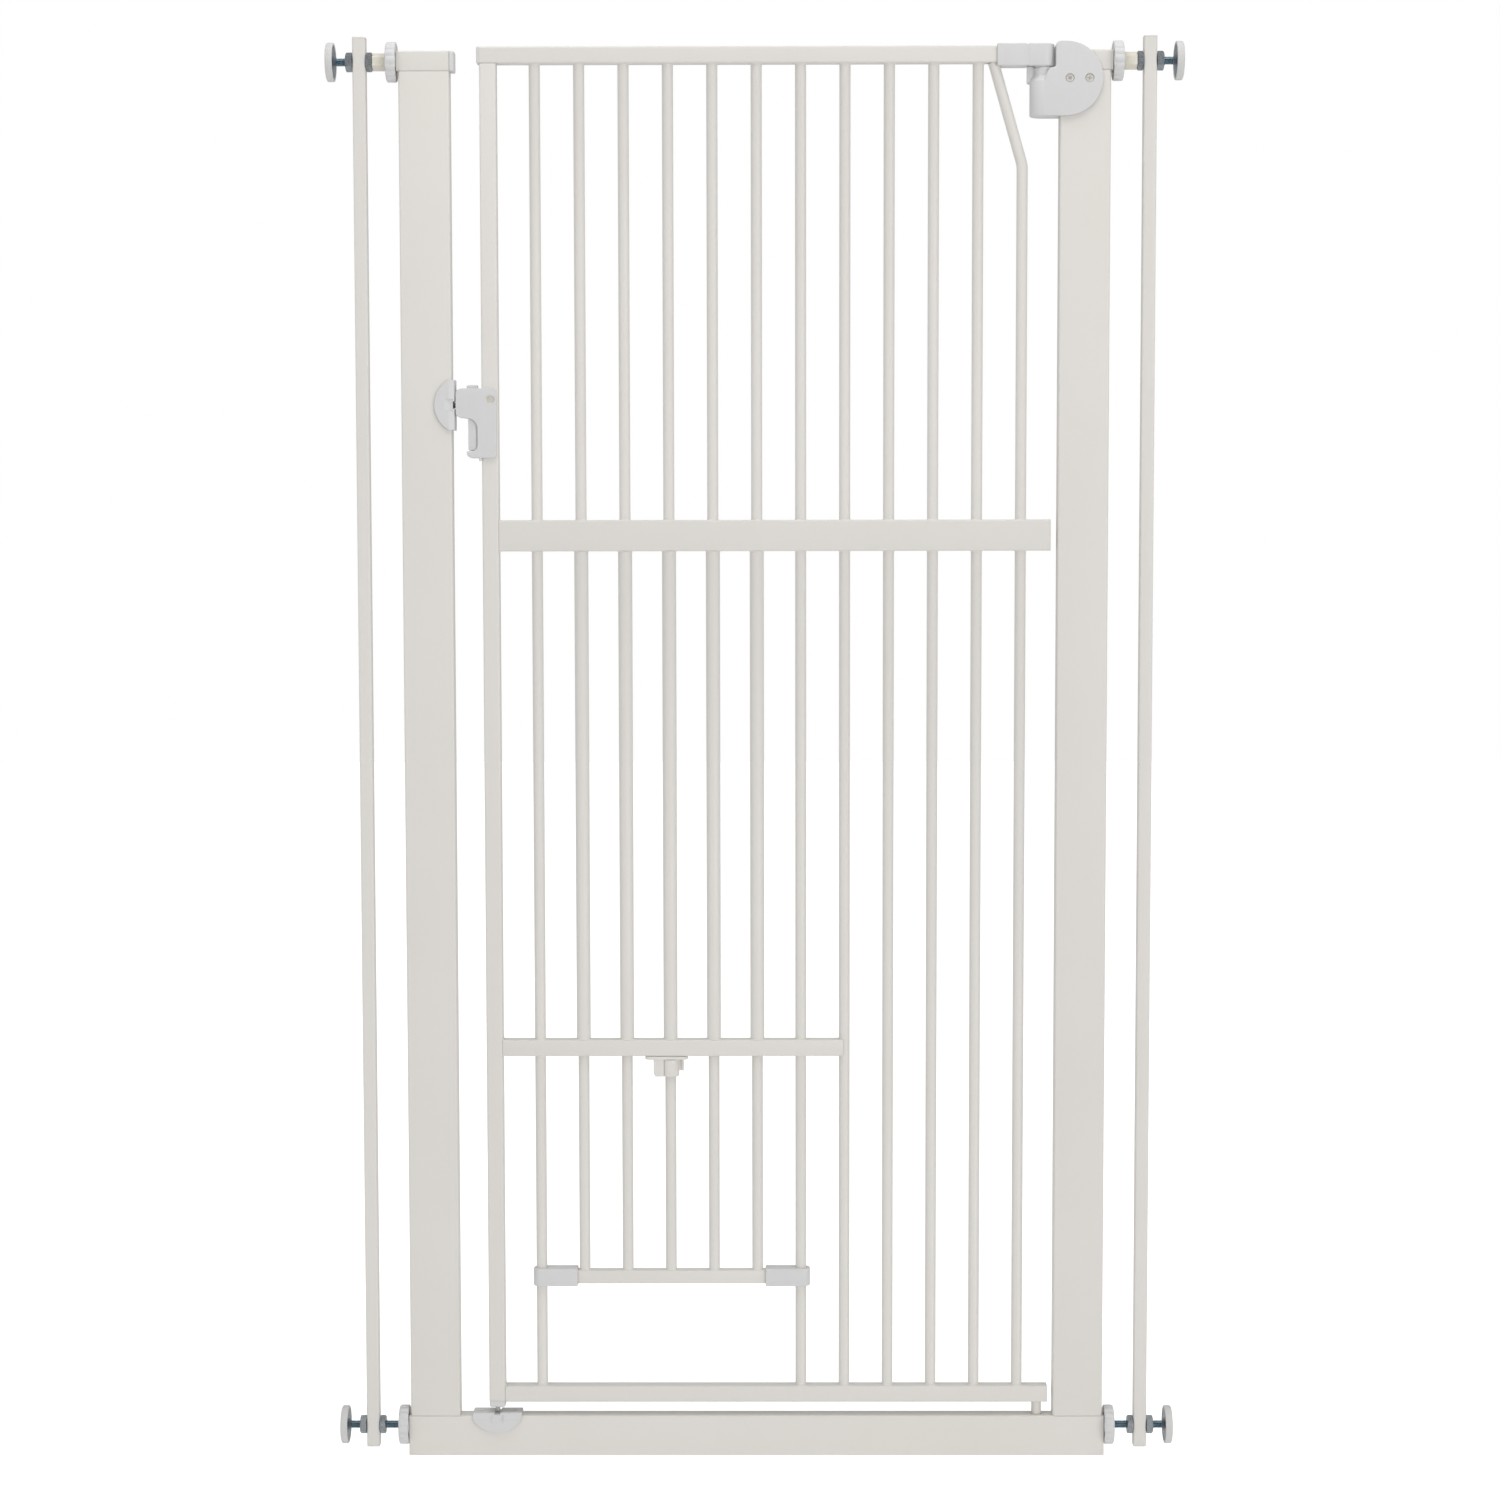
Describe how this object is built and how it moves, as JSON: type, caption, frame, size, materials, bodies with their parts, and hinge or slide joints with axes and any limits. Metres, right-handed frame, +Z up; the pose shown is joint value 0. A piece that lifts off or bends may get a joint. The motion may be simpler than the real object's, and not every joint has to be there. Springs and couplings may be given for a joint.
{
  "type": "pet gate",
  "caption": "Tall pressure-mounted pet gate: a steel tube frame with a barred swing door, a squeeze latch, a sliding cat door and screw-out wall pads.",
  "frame": {"origin": "on the floor, under the middle of the frame", "axes": "+X across the doorway towards the hinge post, -Y towards the viewer (front), +Z up"},
  "size_m": [0.842, 0.0394, 1.42],
  "materials": {
    "frame_paint": "satin powder coat",
    "grey_plastic": "fine moulded",
    "cream_plastic": "semi gloss",
    "zinc": "blue zinc plate",
    "pad_rubber": "matt"
  },
  "bodies": {
    "frame": {"left_post": "frame_paint", "right_post": "frame_paint", "threshold_rail": "frame_paint", "left_top_cap": "grey_plastic", "upper_keeper": "grey_plastic", "lower_keeper": "grey_plastic", "hinge_case": "grey_plastic"},
    "left_extension": {"side_bar_left": "frame_paint", "spacer_sleeve_left": "cream_plastic", "spindle_left_top": "zinc", "spindle_left_bottom": "zinc", "inner_nut_left_top": "zinc", "inner_nut_left_bottom": "zinc", "outer_nut_left_top": "zinc", "outer_nut_left_bottom": "zinc", "wall_pad_left_top": "pad_rubber", "wall_pad_left_bottom": "pad_rubber"},
    "right_extension": {"side_bar_right": "frame_paint", "spacer_sleeve_right": "cream_plastic", "spindle_right_top": "zinc", "spindle_right_bottom": "zinc", "inner_nut_right_top": "zinc", "inner_nut_right_bottom": "zinc", "outer_nut_right_top": "zinc", "outer_nut_right_bottom": "zinc", "wall_pad_right_top": "pad_rubber", "wall_pad_right_bottom": "pad_rubber"},
    "wheel_left_top": {"wheel_left_top": "grey_plastic"},
    "wheel_left_bottom": {"wheel_left_bottom": "grey_plastic"},
    "wheel_right_top": {"wheel_right_top": "grey_plastic"},
    "wheel_right_bottom": {"wheel_right_bottom": "grey_plastic"},
    "door": {"latch_stile": "frame_paint", "stile_plug": "grey_plastic", "top_rail": "frame_paint", "mid_rail": "frame_paint", "cat_rail": "frame_paint", "bottom_rail": "frame_paint", "bar_01": "frame_paint", "bar_02": "frame_paint", "bar_03": "frame_paint", "bar_04": "frame_paint", "bar_05": "frame_paint", "bar_06": "frame_paint", "bar_07": "frame_paint", "bar_08": "frame_paint", "bar_09": "frame_paint", "bar_10": "frame_paint", "bar_11": "frame_paint", "bar_12": "frame_paint", "hinge_arm": "grey_plastic", "handle_body": "grey_plastic", "cat_lock_housing": "cream_plastic"},
    "latch_trigger": {"latch_trigger": "grey_plastic"},
    "latch_bolt": {"latch_bolt": "zinc"},
    "foot_bolt": {"foot_bolt": "zinc"},
    "safety_button": {"safety_button": "cream_plastic"},
    "cat_door": {"cat_grille": "frame_paint", "cat_clip_left": "grey_plastic", "cat_clip_right": "grey_plastic"},
    "cat_lock_collar": {"cat_lock_collar": "cream_plastic"}
  },
  "joints": [
    {"name": "door_swing", "type": "hinge", "parent": "frame", "child": "door", "pos_m": [0.2841, 0, 0.06275], "axis": [0, 0, 1], "range_deg": [-90, 90]},
    {"name": "latch_squeeze", "type": "slide", "parent": "door", "child": "latch_trigger", "axis": [1, 0, 0], "range_m": [0, 0.004], "stiffness_N_per_m": 400, "springref_m": -0.002},
    {"name": "head_bolt_draw", "type": "slide", "parent": "door", "child": "latch_bolt", "axis": [1, 0, 0], "range_m": [0, 0.004]},
    {"name": "foot_bolt_lift", "type": "slide", "parent": "door", "child": "foot_bolt", "axis": [0, 0, 1], "range_m": [0, 0.004]},
    {"name": "button_press", "type": "slide", "parent": "door", "child": "safety_button", "axis": [0, 0, -1], "range_m": [0, 0.0025], "stiffness_N_per_m": 500, "springref_m": -0.001},
    {"name": "cat_door_rise", "type": "slide", "parent": "door", "child": "cat_door", "axis": [0, 0, 1], "range_m": [-0.1, 0.19]},
    {"name": "cat_lock_turn", "type": "hinge", "parent": "door", "child": "cat_lock_collar", "pos_m": [-0.0858, 0, 0.3976], "axis": [0, 0, 1], "range_deg": [0, 90]},
    {"name": "left_extension", "type": "slide", "parent": "frame", "child": "left_extension", "axis": [-1, 0, 0], "range_m": [0, 0.02]},
    {"name": "wheel_left_top_turn", "type": "hinge", "parent": "frame", "child": "wheel_left_top", "pos_m": [-0.3573, 0, 1.396], "axis": [-1, 0, 0], "range_deg": [0, 5760]},
    {"name": "wheel_left_bottom_turn", "type": "hinge", "parent": "frame", "child": "wheel_left_bottom", "pos_m": [-0.3573, 0, 0.0295], "axis": [-1, 0, 0], "range_deg": [0, 5760]},
    {"name": "right_extension", "type": "slide", "parent": "frame", "child": "right_extension", "axis": [1, 0, 0], "range_m": [0, 0.02]},
    {"name": "wheel_right_top_turn", "type": "hinge", "parent": "frame", "child": "wheel_right_top", "pos_m": [0.3573, 0, 1.396], "axis": [1, 0, 0], "range_deg": [0, 5760]},
    {"name": "wheel_right_bottom_turn", "type": "hinge", "parent": "frame", "child": "wheel_right_bottom", "pos_m": [0.3573, 0, 0.0295], "axis": [1, 0, 0], "range_deg": [0, 5760]}
  ],
  "couplings": [
    {"joint": "head_bolt_draw", "follows": "latch_squeeze", "ratio": 1},
    {"joint": "foot_bolt_lift", "follows": "latch_squeeze", "ratio": 1},
    {"joint": "wheel_left_top_turn", "follows": "left_extension", "rad_per_m": 5026.5},
    {"joint": "wheel_left_bottom_turn", "follows": "left_extension", "rad_per_m": 5026.5},
    {"joint": "wheel_right_top_turn", "follows": "right_extension", "rad_per_m": 5026.5},
    {"joint": "wheel_right_bottom_turn", "follows": "right_extension", "rad_per_m": 5026.5}
  ]
}
